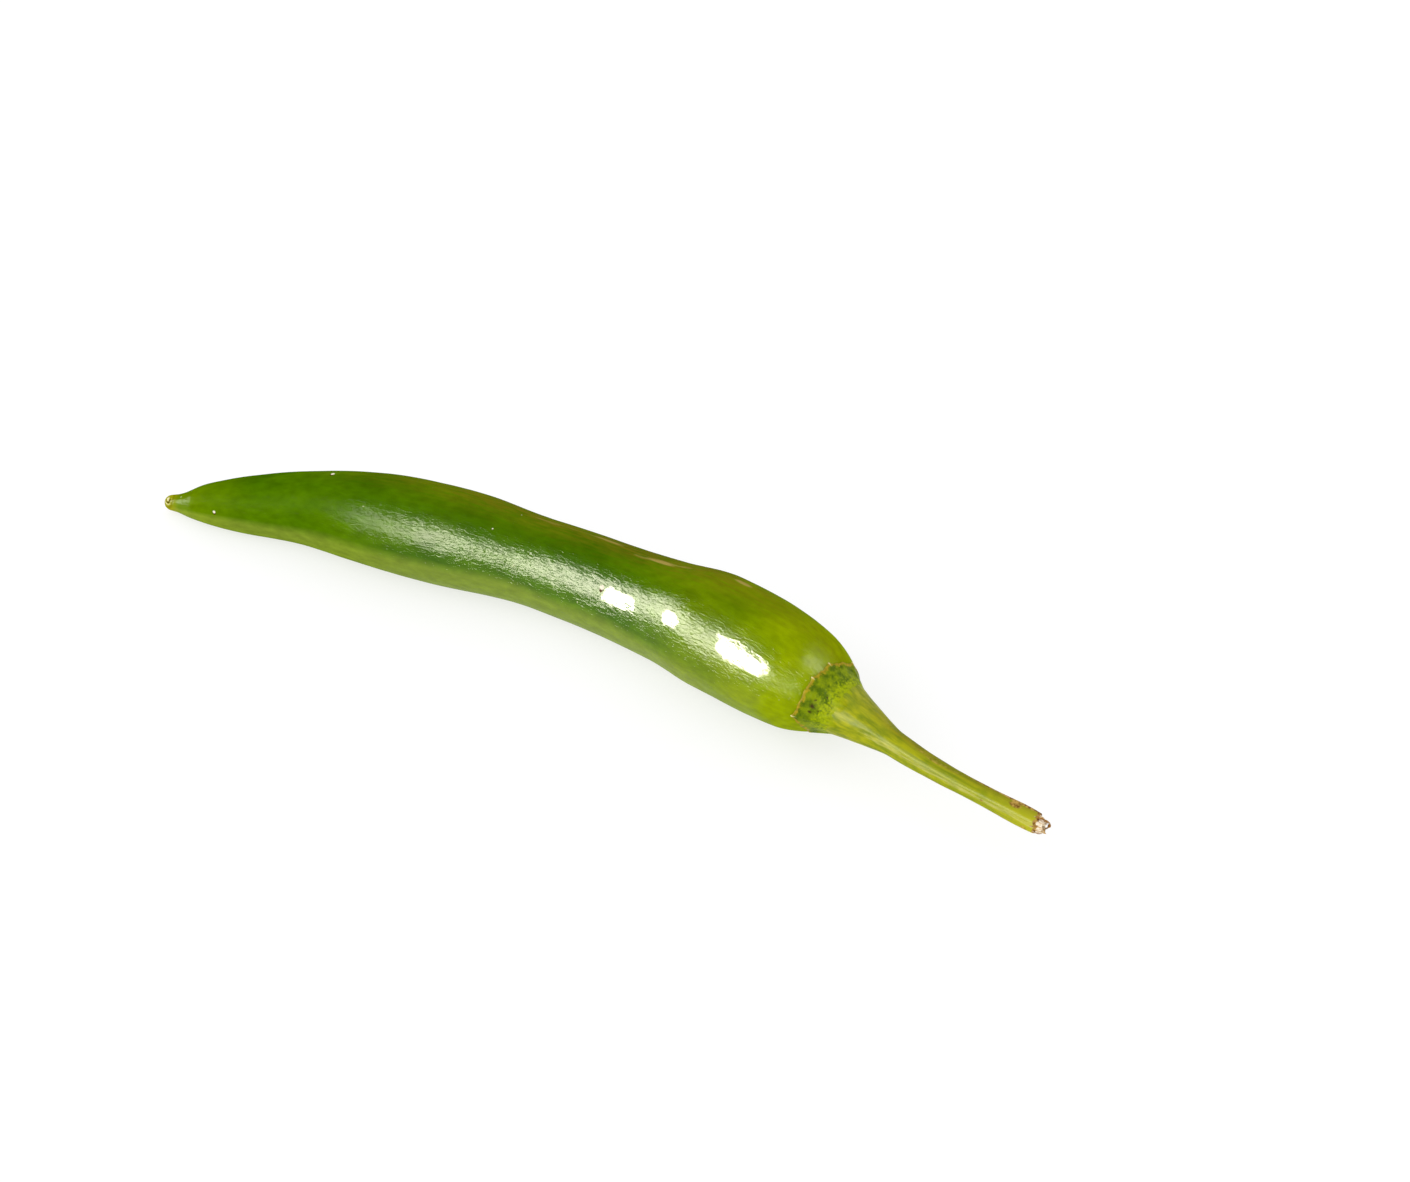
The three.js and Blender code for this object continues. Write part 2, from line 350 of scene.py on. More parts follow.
# The scar from its pale middle outward: a dark groove on its lower side, a pale lip, a brown edge.
lower_side = np.clip(angle_off(pod_turns, SCAR_ANGLE) / 12 + 0.6, 0, 1)
scar_tone = bell(scar, 0, 0.5) - 1.4 * bell(scar, 0.72, 0.2) * lower_side
scar_tone = scar_tone + 0.5 * bell(scar, 1.2, 0.22) * lower_side - 0.45 * bell(scar, 1.8, 0.4)
wax = np.interp(pod_rows + 1.5 * wander(skin_spots, 2.2, 9), *np.transpose(WAX))
rough_edge = 0.2 * wander(skin_spots, 1.3, 10) + 0.12 * wander(skin_spots, 0.55, 11)
for along, degrees, half_length, half_width in SHINY:
    across = np.radians(angle_off(pod_turns, degrees)) * skin_radius
    off = np.sqrt(np.hypot(((pod_rows - along) / half_length) ** 2, (across / half_width) ** 2))
    wax = np.maximum(wax, np.clip((1 + rough_edge - off) / 0.12, 0, 1))
# The worn side has next to none left, but for a patch beside the calyx.
wax = wax * np.clip((np.abs(angle_off(pod_turns, WORN_SIDE)) - 28) / 24, 0.04, 1)
wax = wax + 0.36 * facing(pod_turns, 108, 18) * np.clip((pod_rows - 129) / 3, 0, 1)
# Painted light along the lower side, where the white table's reflection and light fall, fading out
# towards the shoulder.
painted_table_light = angle_off(pod_turns, UNDERSIDE) + 9 * wander(skin_spots * [0.5, 1, 1], 9, 6)
painted_table_light = np.clip((74 - np.abs(painted_table_light)) / 14, 0, 1) * np.clip((POD_LENGTH - pod_rows) / 26, 0, 1)

pod = make_rings(
    "pod_skin",
    place(pod_rows, skin_radius, pod_turns),
    {
        "skin_mm": skin_spots,
        "rubbed": np.clip(rubbed, 0, 1),
        "sunned": sunned,
        "ripening": np.clip(ripening, 0, 1),
        "knob": knob,
        "scar_tone": scar_tone,
        "wax": wax,
        "painted_table_light": painted_table_light,
    },
)

# Fresh chilli skin: green flesh under a thin clear wax, so it is glossy. Its surface is faintly
# crinkled, mostly across the pod, which frays the edges of every highlight.
skin = bpy.data.materials.new("waxy_green_chilli_skin")
skin.use_nodes = True
tree = skin.node_tree
here = add(tree, "Attribute", give="Vector", attribute_name="skin_mm")
ripe = add(tree, "Attribute", give="Fac", attribute_name="ripening")
sun = add(tree, "Attribute", give="Fac", attribute_name="sunned")
rub = add(tree, "Attribute", give="Fac", attribute_name="rubbed")
tip = add(tree, "Attribute", give="Fac", attribute_name="knob")
scar_here = add(tree, "Attribute", give="Fac", attribute_name="scar_tone")
wax_here = add(tree, "Attribute", give="Fac", attribute_name="wax")
under = add(tree, "Attribute", give="Fac", attribute_name="painted_table_light")
longways = add(tree, "Mapping", {"Vector": here, "Scale": (0.45, 1, 1)})

# Deeper green in patches about 7 mm wide, under a mottle about 1 mm across.
patches = add(tree, "TexNoise", {"Vector": longways, "Scale": 1 / 7, "Detail": 3})
patches = add(tree, "MapRange", {"Value": patches, "From Min": 0.35, "From Max": 0.65})
paint = add(
    tree, "Mix", {"Factor": patches, "A": colour("#3c6200"), "B": colour("#4f7400")},
    data_type="RGBA",
)
mottle = add(tree, "TexNoise", {"Vector": longways, "Scale": 1 / 1.1, "Detail": 4})
# Painted light: the lower side is painted paler, standing in for the white table's reflection and
# the light it throws up.
under = add(tree, "Math", {0: under, 1: 0.65}, operation="MULTIPLY")
paint = add(
    tree, "Mix", {"Factor": under, "A": paint, "B": colour("#8b9c34")}, data_type="RGBA"
)
# Towards the shoulder it is ripening to yellow-green.
paint = add(
    tree, "Mix", {"Factor": ripe, "A": paint, "B": colour("#8a9c00")}, data_type="RGBA"
)
mottle_tone = add(
    tree, "MapRange",
    {"Value": mottle, "From Min": 0.3, "From Max": 0.7, "To Min": 0.84, "To Max": 1.14},
)
paint = add(tree, "VectorMath", {0: paint, 1: mottle_tone}, operation="MULTIPLY")

# The side that faced the sun is olive, and rubbed spots are tan cork, streaky along the pod.
streaks = add(tree, "Mapping", {"Vector": here, "Scale": (0.3, 2.2, 2.2)})
streaks = add(tree, "TexNoise", {"Vector": streaks, "Scale": 1.0, "Detail": 5})
olive = add(
    tree, "MapRange",
    {"Value": streaks, "From Min": 0.35, "From Max": 0.62, "To Min": 0.25, "To Max": 1.0},
)
olive = add(tree, "Math", {0: olive, 1: sun}, operation="MULTIPLY")
olive = add(tree, "Math", {0: olive, 1: 0.75}, operation="MULTIPLY")
paint = add(
    tree, "Mix", {"Factor": olive, "A": paint, "B": colour("#7d6c14")}, data_type="RGBA"
)
cork = add(tree, "Math", {0: rub, 1: streaks}, operation="ADD")
cork = add(tree, "MapRange", {"Value": cork, "From Min": 0.9, "From Max": 1.4, "To Max": 0.85})

# The knob at the tip is yellow, and the style's scar on it is dark and light by turns.
dark = add(tree, "MapRange", {"Value": scar_here, "From Min": -0.15, "From Max": -0.9})
light = add(tree, "MapRange", {"Value": scar_here, "From Min": 0.15, "From Max": 0.85})
layers = ((cork, "#a8934c"), (tip, "#9a9a0c"), (dark, "#54440c"), (light, "#efe4b4"))
for amount, code in layers:
    paint = add(
        tree, "Mix", {"Factor": amount, "A": paint, "B": colour(code)}, data_type="RGBA"
    )

# Pale breathing pores, a tenth of a millimetre wide and drawn twice that, about 4 mm apart.
pores = add(tree, "TexVoronoi", {"Vector": here, "Scale": 1 / 4})
pores = add(
    tree, "MapRange",
    {"Value": pores, "From Min": 0.03, "From Max": 0.045, "To Min": 0.8, "To Max": 0.0},
)
paint = add(
    tree, "Mix", {"Factor": pores, "A": paint, "B": colour("#c8c79a")}, data_type="RGBA"
)

# Nicks in the skin that healed: millimetres from the tip, degrees round, and radius. Each is a
# pale fleck with a crumbled edge and, on its lower side, a brown crescent that is scab and painted
# shadow together, and it has no wax.
NICKS = [(12, 164, 0.27), (34, 83, 0.36), (90.3, 141, 0.42), (66, 118, 0.12)]
crumbs = add(tree, "TexNoise", {"Vector": here, "Scale": 1 / 0.4, "Detail": 2})
healed = 0.0
for along, degrees, size in NICKS:
    turn = math.radians(degrees)
    reach = float(pod_radius(along, turn))
    # First the brown crescent below, scab and painted shadow together, then the pale fleck over
    # it.
    for shift, code in ((1.0, "#4e3208"), (0, "#f3ead2")):
        nick = straightened(along, reach, turn + shift * size / reach).tolist()
        nick = add(tree, "VectorMath", {0: here, 1: nick}, "Value", operation="DISTANCE")
        nick = add(tree, "Math", {0: crumbs, 1: -0.7 * size, 2: nick}, operation="MULTIPLY_ADD")
        nick = add(
            tree, "MapRange",
            {
                "Value": nick, "From Min": 0.4 * size, "From Max": 0.8 * size,
                "To Min": 1.0, "To Max": 0.0,
            },
        )
        paint = add(
            tree, "Mix", {"Factor": nick, "A": paint, "B": colour(code)}, data_type="RGBA"
        )
        healed = add(tree, "Math", {0: healed, 1: nick}, operation="MAXIMUM")
wax_here = add(tree, "MapRange", {"Value": healed, "To Min": wax_here, "To Max": 0.0})

# The crinkle: wavelets four tenths of a millimetre apart and three times as long as they are
# wide. The real ones are finer, too fine to show.
crinkle = add(tree, "Mapping", {"Vector": here, "Scale": (0.8, 2.6, 2.6)})
crinkle = add(tree, "TexNoise", {"Vector": crinkle, "Scale": 1.0, "Detail": 3, "Distortion": 0.7})
# Where the wax is thick it fills the crinkle.
unfilled = add(
    tree, "MapRange",
    {"Value": wax_here, "From Min": 0.5, "From Max": 1.0, "To Min": 1.0, "To Max": 0.5},
)
crinkle = add(tree, "Math", {0: crinkle, 1: unfilled}, operation="MULTIPLY")
orange_peel = add(tree, "TexNoise", {"Vector": here, "Scale": 1 / 2.6, "Detail": 2})
height = add(tree, "Math", {0: orange_peel, 1: 2.0, 2: crinkle}, operation="MULTIPLY_ADD")
height = add(tree, "Math", {0: cork, 1: 0.8, 2: height}, operation="MULTIPLY_ADD")
relief = add(tree, "Bump", {"Height": height, "Distance": 0.1 * MM, "Strength": 1.0})
dullness = add(tree, "MapRange", {"Value": wax_here, "To Min": 0.6, "To Max": 0.5})
shader = tree.nodes["Principled BSDF"]
tree.links.new(paint, shader.inputs["Base Color"])
tree.links.new(dullness, shader.inputs["Roughness"])
tree.links.new(wax_here, shader.inputs["Coat Weight"])
tree.links.new(relief, shader.inputs["Normal"])
tree.links.new(relief, shader.inputs["Coat Normal"])
shader.inputs["IOR"].default_value = 1.4
shader.inputs["Specular IOR Level"].default_value = 0.0
# Plant wax is nearer 1.45. This is matched to the strength of the highlights.
shader.inputs["Coat IOR"].default_value = 1.6
shader.inputs["Coat Roughness"].default_value = 0.13
pod.data.materials.append(skin)

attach(pod, "root")
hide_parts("pod")


# ---- The calyx ---------------------------------------------------------------------------------
# The star of joined sepals that capped the flower. It lies on the pod's shoulder round the foot
# of the stem as a thin leathery cone, grown into the stem at its neck. Its rim has dried to a
# thin brown line, drawn out to a small pale point at each tooth.

# Each tooth's place round the pepper in degrees, and its reach from the middle.
TEETH = [(40, 6.94), (91, 7.02), (121, 7.1), (180, 7.24), (232, 6.88), (285, 7.1), (340, 6.96)]
RIM_HOLLOW = 0.16
CALYX_EDGE = 0.18
RIM_LIFT = 0.05
NECK_DISTANCE = POD_LENGTH + 5.2
NECK_SUNK = 0.05
BEND_ALONG, BEND_OUT = 2.6, 4.72
CONE_SPAN = 7.4
RIB_COUNT = 5
RIB_DEPTH = 0.09
STEM_FURROW = 0.05
STEM_KNOT = 0.08
CUT_SWELLING = 0.1
STEM_RADIUS = 1.6
STEM_FOOT_RADIUS = 4.8
STEM_TAPER = [
    (0, 1), (0.047, 0.95), (0.07, 0.9), (0.116, 0.74), (0.163, 0.59), (0.233, 0.38),
    (0.302, 0.21), (0.372, 0.14), (0.465, 0.09), (0.558, 0.03), (0.674, 0), (0.93, 0.01),
    (1, -0.05),
]
stem_taper = curve_through(STEM_TAPER, 12)


def stem_radius(distance):
    share = (distance - POD_LENGTH) / STEM_LENGTH
    fullness = np.interp(share, stem_taper[:, 0], stem_taper[:, 1])
    return STEM_RADIUS + (STEM_FOOT_RADIUS - STEM_RADIUS) * fullness


def stem_surface(distance, turn):
    """The stem's radius with its ribs, its fine furrows and a slight swelling at the cut."""
    distance, turn = np.broadcast_arrays(distance, turn)
    radius = stem_radius(distance)
    spot = straightened(distance, radius, turn)
    clear = np.clip((distance - POD_LENGTH - 3) / 6, 0, 1)
    ribs = RIB_DEPTH * np.cos(RIB_COUNT * turn + 0.02 * (distance - POD_LENGTH))
    furrows = STEM_FURROW * wander(spot * [0.12, 1, 1], 0.55, 31)
    knots = STEM_KNOT * wander(spot * [0.6, 1, 1], 3.0, 32)
    swelling = CUT_SWELLING * bell(distance, TOTAL_LENGTH - 4, 4.5)
    return radius + clear * (ribs + furrows + knots + swelling)


def between_teeth(turns):
    """For each turn: how far it is across its gap from 0 to 1, the gap's width, and the reach."""
    degrees = np.degrees(turns) % 360
    ends = TEETH + [(TEETH[0][0] + 360, TEETH[0][1])]
    degrees = np.where(degrees < TEETH[0][0], degrees + 360, degrees)
    places = np.array([tooth[0] for tooth in ends], float)
    gap = np.clip(np.searchsorted(places, degrees, "right") - 1, 0, len(TEETH) - 1)
    width = places[gap + 1] - places[gap]
    share = (degrees - places[gap]) / width
    return share, np.radians(width), np.interp(degrees, places, [tooth[1] for tooth in ends])


# Rings of points over the rim's edge, up the cone, and back down inside.
EDGE_RINGS, CONE_RINGS, INNER_RINGS = 4, 34, 10
calyx_turns = np.linspace(0, 2 * np.pi, 420, endpoint=False)
share, gap_width, reach = between_teeth(calyx_turns)
to_tooth = np.minimum(share, 1 - share) * np.degrees(gap_width)
point = np.exp(-to_tooth / 2.6)
rim_radius = reach - RIM_HOLLOW * gap_width * 4 * share * (1 - share) + 0.16 * point
ring = np.stack([np.cos(calyx_turns), np.sin(calyx_turns), 0 * calyx_turns], -1)
rim_radius = rim_radius + 0.09 * wander(ring * 7, 0.9, 21) + 0.05 * wander(ring * 7, 0.35, 22)
shoulder_share = np.sqrt(1 - ((rim_radius - SEAT_RADIUS) / (POD_RADIUS - SEAT_RADIUS)) ** 2)
rim_distance = POD_LENGTH - SHOULDER_LENGTH * (1 - shoulder_share)
lean = np.stack(
    [
        (POD_RADIUS - SEAT_RADIUS) * shoulder_share,
        SHOULDER_LENGTH * np.sqrt(1 - shoulder_share**2),
    ],
    -1,
)
lean = lean / np.linalg.norm(lean, axis=-1, keepdims=True)

# From the rim's foot over its edge, up the cone to the neck, and back down inside.
rim_foot = np.stack([rim_distance, pod_radius(rim_distance, calyx_turns)], -1)
lift = RIM_LIFT + 0.16 * np.clip(wander(ring * 7, 2.4, 23), 0, 1) + 0.1 * point
rim_foot = rim_foot + lean * lift[:, None]
brim = rim_foot + lean * CALYX_EDGE
neck = np.stack(
    [
        np.full_like(calyx_turns, NECK_DISTANCE),
        stem_surface(NECK_DISTANCE, calyx_turns) - NECK_SUNK,
    ],
    -1,
)
uphill = np.stack([lean[:, 1], -lean[:, 0]], -1)
bend = np.array([POD_LENGTH + BEND_ALONG, BEND_OUT]) + 0 * neck
outer = np.linspace(0, 1, CONE_RINGS)[:, None, None]
outer = (1 - outer) ** 2 * brim + 2 * outer * (1 - outer) * bend + outer**2 * neck
climb = np.linspace(0, 1, CONE_RINGS)[:, None]
spots = straightened(outer[..., 0], outer[..., 1], calyx_turns[None, :])
ridges = 0.2 * bell(to_tooth, 0, 7) * np.sin(np.pi * climb * 0.75 + 0.35) * (1 - climb)
hollows = 0.16 * 4 * share * (1 - share) * np.sin(np.pi * climb)
veins = 0.05 * wander(spots * [0.35, 1, 1], 0.8, 24) + 0.06 * wander(spots, 1.5, 25)
wrinkles = 0.035 * wander(spots, 0.55, 26)
between = np.maximum(np.sin(np.pi * climb), 0) ** 0.6
slim = 0.4 * facing(calyx_turns, 50, 45)
slim = (slim + 0.3 * facing(calyx_turns, 222, 36)) * np.sin(np.pi * climb)
outer = outer + lean * ((ridges - hollows - slim + (veins + wrinkles) * between)[..., None])
edge = np.linspace(0, 1, EDGE_RINGS + 1)[:, None, None]
edge = rim_foot + (brim - rim_foot) * edge + uphill * (-0.07) * np.sin(np.pi * edge)
inner_neck = neck + [-0.4, -0.35]
inner = np.linspace(0, 1, INNER_RINGS)[:, None, None]
inner = inner_neck + (rim_foot + uphill * 0.35 - inner_neck) * inner
profile = np.concatenate([edge[:-1], outer, inner])
at_edge = np.zeros((EDGE_RINGS, 1))
climbs = np.concatenate([at_edge, climb, np.linspace(1, 0, INNER_RINGS)[:, None]])
# Roughly how far each ring is from the rim, in millimetres; it only matters close to the rim.
from_rim = np.concatenate([at_edge, 5.6 * climb, np.full((INNER_RINGS, 1), 3.0)])

# Brown specks on the sepal: millimetres up from the rim, degrees round, radius.
SPECKS = [(2.0, 146, 0.3), (1.8, 155, 0.34), (1.7, 166, 0.2), (2.9, 160, 0.16), (3.1, 131, 0.14)]
specked = np.zeros(profile.shape[:2])
for up, degrees, size in SPECKS:
    across = np.radians(angle_off(calyx_turns, degrees)) * profile[..., 1]
    off = np.hypot(climbs * CONE_SPAN - up, across) / size
    specked += np.clip(1.6 - off, 0, 1)

calyx = make_rings(
    "calyx_sepals",
    place(profile[..., 0], profile[..., 1], calyx_turns[None, :]),
    {
        "calyx_mm": straightened(profile[..., 0], profile[..., 1], calyx_turns[None, :]),
        "climb": climbs,
        "from_rim": from_rim,
        "tooth": np.exp(-to_tooth / 2.2)[None, :],
        "specked": np.clip(specked, 0, 1),
    },
    closed=True,
)


def rind_paint(tree, here):
    """The stem's yellow-green, in lighter and darker lines along it with soft green clouds."""
    lines = add(tree, "Mapping", {"Vector": here, "Scale": (0.1, 1.6, 1.6)})
    lines = add(tree, "TexNoise", {"Vector": lines, "Scale": 1.0, "Detail": 5})
    tone = add(tree, "MapRange", {"Value": lines, "From Min": 0.36, "From Max": 0.64})
    paint = add(
        tree, "Mix", {"Factor": tone, "A": colour("#7b8800"), "B": colour("#a8aa00")},
        data_type="RGBA",
    )
    clouds = add(tree, "TexNoise", {"Vector": here, "Scale": 1 / 1.8, "Detail": 3})
    clouds = add(
        tree, "MapRange",
        {"Value": clouds, "From Min": 0.48, "From Max": 0.72, "To Min": 0.0, "To Max": 0.5},
    )
    paint = add(
        tree, "Mix", {"Factor": clouds, "A": paint, "B": colour("#5c7a00")}, data_type="RGBA"
    )
    return paint, lines


# Sepal skin: tougher and duller than the pod, finely wrinkled, dark green blotched with lighter
# spots, and paling to the stem's yellow-green at the neck. The rim is dry and golden brown.
sepal = bpy.data.materials.new("leathery_green_sepal")
sepal.use_nodes = True
tree = sepal.node_tree
here = add(tree, "Attribute", give="Vector", attribute_name="calyx_mm")
climb_here = add(tree, "Attribute", give="Fac", attribute_name="climb")
rim_here = add(tree, "Attribute", give="Fac", attribute_name="from_rim")
tooth_here = add(tree, "Attribute", give="Fac", attribute_name="tooth")
specks = add(tree, "Attribute", give="Fac", attribute_name="specked")
blotches = add(tree, "TexNoise", {"Vector": here, "Scale": 1 / 1.5, "Detail": 4, "Roughness": 0.6})
blotches = add(tree, "MapRange", {"Value": blotches, "From Min": 0.38, "From Max": 0.6})
paint = add(
    tree, "Mix", {"Factor": blotches, "A": colour("#506800"), "B": colour("#829400")},
    data_type="RGBA",
)
# Light speckles under half a millimetre wide crowd together towards the neck.
speckles = add(tree, "TexNoise", {"Vector": here, "Scale": 1 / 0.45, "Detail": 3})
speckles = add(tree, "Math", {0: climb_here, 1: 0.75, 2: speckles}, operation="MULTIPLY_ADD")
speckles = add(
    tree, "MapRange",
    {"Value": speckles, "From Min": 0.78, "From Max": 1.02, "To Min": 0, "To Max": 0.9},
)
paint = add(
    tree, "Mix", {"Factor": speckles, "A": paint, "B": colour("#a4b400")}, data_type="RGBA"
)
rind_colour, rind_lines = rind_paint(tree, here)
upper = add(tree, "Math", {0: rind_lines, 1: 0.3, 2: climb_here}, operation="MULTIPLY_ADD")
upper = add(tree, "MapRange", {"Value": upper, "From Min": 0.68, "From Max": 0.98})
paint = add(tree, "Mix", {"Factor": upper, "A": paint, "B": rind_colour}, data_type="RGBA")
paint = add(
    tree, "Mix", {"Factor": specks, "A": paint, "B": colour("#3a2808")}, data_type="RGBA"
)
# The dry rim is uneven: here a hair's breadth of brown, there a third of a millimetre of gold.
dry = add(tree, "TexNoise", {"Vector": here, "Scale": 1 / 0.7, "Detail": 3})
gold = add(
    tree, "Mix", {"Factor": dry, "A": colour("#4c4004"), "B": colour("#ccb424")},
    data_type="RGBA",
)
dry = add(tree, "Math", {0: dry, 1: -1.2, 2: rim_here}, operation="MULTIPLY_ADD")
dry = add(
    tree, "MapRange",
    {"Value": dry, "From Min": -0.4, "From Max": -0.27, "To Min": 1.0, "To Max": 0.0},
)
paint = add(tree, "Mix", {"Factor": dry, "A": paint, "B": gold}, data_type="RGBA")
pale = add(tree, "Math", {0: rim_here, 1: -0.8, 2: tooth_here}, operation="MULTIPLY_ADD")
pale = add(tree, "MapRange", {"Value": pale, "From Min": 0.5, "From Max": 0.85})
paint = add(
    tree, "Mix", {"Factor": pale, "A": paint, "B": colour("#e6dc9c")}, data_type="RGBA"
)
grain = add(tree, "TexNoise", {"Vector": here, "Scale": 1 / 0.45, "Detail": 4})
relief = add(tree, "Bump", {"Height": grain, "Distance": 0.09 * MM, "Strength": 1.0})
shader = tree.nodes["Principled BSDF"]
tree.links.new(paint, shader.inputs["Base Color"])
tree.links.new(relief, shader.inputs["Normal"])
shader.inputs["IOR"].default_value = 1.4
shader.inputs["Specular IOR Level"].default_value = 0.045
shader.inputs["Roughness"].default_value = 0.42
calyx.data.materials.append(sepal)

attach(calyx, "root")
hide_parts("calyx")


# ---- The stem ----------------------------------------------------------------------------------
# The stalk that the pod hung by: a solid, faintly ribbed pedicel that flares like a trumpet on
# to the pod, under the calyx. Its far end was torn off the plant, and dried to cream pith.

# The rings crowd together towards the torn end.
STEM_CLEARANCE = 0.35
TORN_STRETCH = 3.2
torn_start = TOTAL_LENGTH - TORN_STRETCH
stem_rows = np.concatenate([
    np.linspace(POD_LENGTH + STEM_CLEARANCE, torn_start, 190),
    np.linspace(torn_start, TOTAL_LENGTH, 40)[1:],
])[:, None]
stem_turns = np.linspace(0, 2 * np.pi, 120, endpoint=False)[None, :]
wall = stem_surface(stem_rows, stem_turns)

# The rind broke off raggedly, a little short of the pith inside it.
ring = straightened(0, STEM_RADIUS, stem_turns)
rind_end = TOTAL_LENGTH - 1.5 + 0.7 * wander(ring, 1.1, 35) + 0.3 * wander(ring, 0.4, 36)
past_rind = np.clip((stem_rows - rind_end) / 0.25, 0, 1)
shreds = 0.16 * wander(straightened(stem_rows, wall, stem_turns) * [0.3, 1, 1], 0.4, 37)
wall = wall - past_rind * (0.32 - shreds + 0.12 * (stem_rows - rind_end))
end_wall = wall[-1:]
end_shares = np.linspace(0.96, 0.06, 14)[:, None]
end_radius = end_wall * end_shares
ragged = straightened(0, end_radius, stem_turns)
torn = 0.8 * wander(ragged, 0.8, 33) + 0.35 * wander(ragged, 0.3, 34)
torn = torn - 0.4 - 0.6 * bell(end_shares, 0.3, 0.25)
rim_torn = 0.8 * wander(straightened(0, end_wall, stem_turns), 0.7, 35) - 0.3
near_end = np.clip((stem_rows - TOTAL_LENGTH + 1.4) / 1.4, 0, 1) ** 2
stem_distance = np.vstack([
    stem_rows + near_end * rim_torn,
    TOTAL_LENGTH + rim_torn * end_shares + torn,
])
stem_all_radius = np.vstack([wall, end_radius])
cut = np.vstack([
    0.5 * np.clip((stem_rows - rind_end + 0.3) / 0.25, 0, 1)
    + 0.5 * np.clip((stem_rows - rind_end - 0.2) / 0.2, 0, 1),
    0 * end_radius + 1,
])

# Directions at the torn end: along the stem, to its side, and up.
onward = line_points[-1] - line_points[-8]
onward /= np.linalg.norm(onward)
sideways = np.cross([0.0, 0.0, 1.0], onward)
sideways /= np.linalg.norm(sideways)
end_frame = np.stack([onward, sideways, np.cross(onward, sideways)])

# Dry scuffs on the stalk: millimetres from the tip, degrees round, half length, half width,
# and how strong.
SCUFFS = [
    (173.3, 97, 1.0, 0.55, 0.95), (174, 64, 3.6, 0.36, 1.1), (167, 66, 3.4, 0.2, 0.7),
    (160, 212, 5.0, 0.2, 0.7), (171, 214, 4.5, 0.25, 0.8), (158, 92, 5.0, 0.45, 0.5),
    (168, 168, 0.3, 0.2, 0.8), (176, 150, 0.6, 0.25, 0.4), (176, 200, 0.7, 0.3, 0.6),
]
scuffed = np.zeros(stem_all_radius.shape)
for along, degrees, half_length, half_width, strength in SCUFFS:
    across = np.radians(angle_off(stem_turns, degrees)) * stem_all_radius
    off = np.hypot((stem_distance - along) / half_length, across / half_width)
    scuffed += strength * np.clip(1.6 - off, 0, 1)
stem = make_rings(
    "stem_stalk",
    place(np.minimum(stem_distance, TOTAL_LENGTH), stem_all_radius, stem_turns)
    + np.maximum(stem_distance - TOTAL_LENGTH, 0)[..., None] * onward,
    {
        "stem_mm": straightened(stem_distance, stem_all_radius, stem_turns),
        "cut": cut,
        # The top side: olive weathering, and painted shade darkening its upper edge.
        "weathered_and_shaded_top": facing(stem_turns, 75, 26)
        * np.clip((stem_distance - POD_LENGTH - 2) / 12, 0, 1),
        "swollen": np.clip((stem_distance - TOTAL_LENGTH + 12) / 10, 0, 1),
        "scuffed": np.clip(scuffed, 0, 1),
        # Painted highlight: a pale band along the stem's lower middle.
        "painted_highlight_band": facing(stem_turns, 163, 20)
        * np.clip((stem_distance - POD_LENGTH - 4) / 8, 0, 1),
    },
)

# Stem rind: smooth, satin and yellow-green, with a painted highlight in pale streaks along its
# lower middle, a top side painted olive and darker for weathering and painted shade, and tan
# scuffs. The torn end is dry cream pith inside a brown rim.
rind = bpy.data.materials.new("satin_green_stem_rind")
rind.use_nodes = True
tree = rind.node_tree
here = add(tree, "Attribute", give="Vector", attribute_name="stem_mm")
cut_here = add(tree, "Attribute", give="Fac", attribute_name="cut")
weather_and_shade = add(tree, "Attribute", give="Fac", attribute_name="weathered_and_shaded_top")
swollen = add(tree, "Attribute", give="Fac", attribute_name="swollen")
scuffs = add(tree, "Attribute", give="Fac", attribute_name="scuffed")
painted_highlight = add(tree, "Attribute", give="Fac", attribute_name="painted_highlight_band")
paint, lines = rind_paint(tree, here)
ripe = add(tree, "Math", {0: swollen, 1: 0.65}, operation="MULTIPLY")
paint = add(
    tree, "Mix", {"Factor": ripe, "A": paint, "B": colour("#bcb81c")}, data_type="RGBA"
)
fine = add(tree, "Mapping", {"Vector": here, "Scale": (0.35, 3.2, 3.2)})
fine = add(tree, "TexNoise", {"Vector": fine, "Scale": 1.0, "Detail": 3})
# The painted highlight, broken into pale streaks.
pale = add(tree, "Math", {0: fine, 1: painted_highlight}, operation="MULTIPLY")
pale = add(
    tree, "MapRange",
    {"Value": pale, "From Min": 0.3, "From Max": 0.62, "To Min": 0.0, "To Max": 0.6},
)
paint = add(
    tree, "Mix", {"Factor": pale, "A": paint, "B": colour("#cfc972")}, data_type="RGBA"
)
# Olive and darker on the top side: weathering, and painted shade.
olive = add(tree, "Math", {0: weather_and_shade, 1: lines}, operation="MULTIPLY")
paint = add(
    tree, "Mix", {"Factor": olive, "A": paint, "B": colour("#706008")}, data_type="RGBA"
)
scuffs = add(tree, "Math", {0: scuffs, 1: fine}, operation="ADD")
scuffs = add(
    tree, "MapRange",
    {"Value": scuffs, "From Min": 0.85, "From Max": 1.3, "To Min": 0.0, "To Max": 0.9},
)
scuff_tone = add(tree, "TexNoise", {"Vector": here, "Scale": 1 / 0.6, "Detail": 3})
scuff_tone = add(tree, "MapRange", {"Value": scuff_tone, "From Min": 0.4, "From Max": 0.6})
scuff_colour = add(
    tree, "Mix", {"Factor": scuff_tone, "A": colour("#6e4212"), "B": colour("#c09a4c")},
    data_type="RGBA",
)
paint = add(tree, "Mix", {"Factor": scuffs, "A": paint, "B": scuff_colour}, data_type="RGBA")
brown_rim = add(tree, "MapRange", {"Value": cut_here, "From Min": 0.1, "From Max": 0.45})
paint = add(tree, "Mix", {"Factor": brown_rim, "A": paint, "B": scuff_colour}, data_type="RGBA")
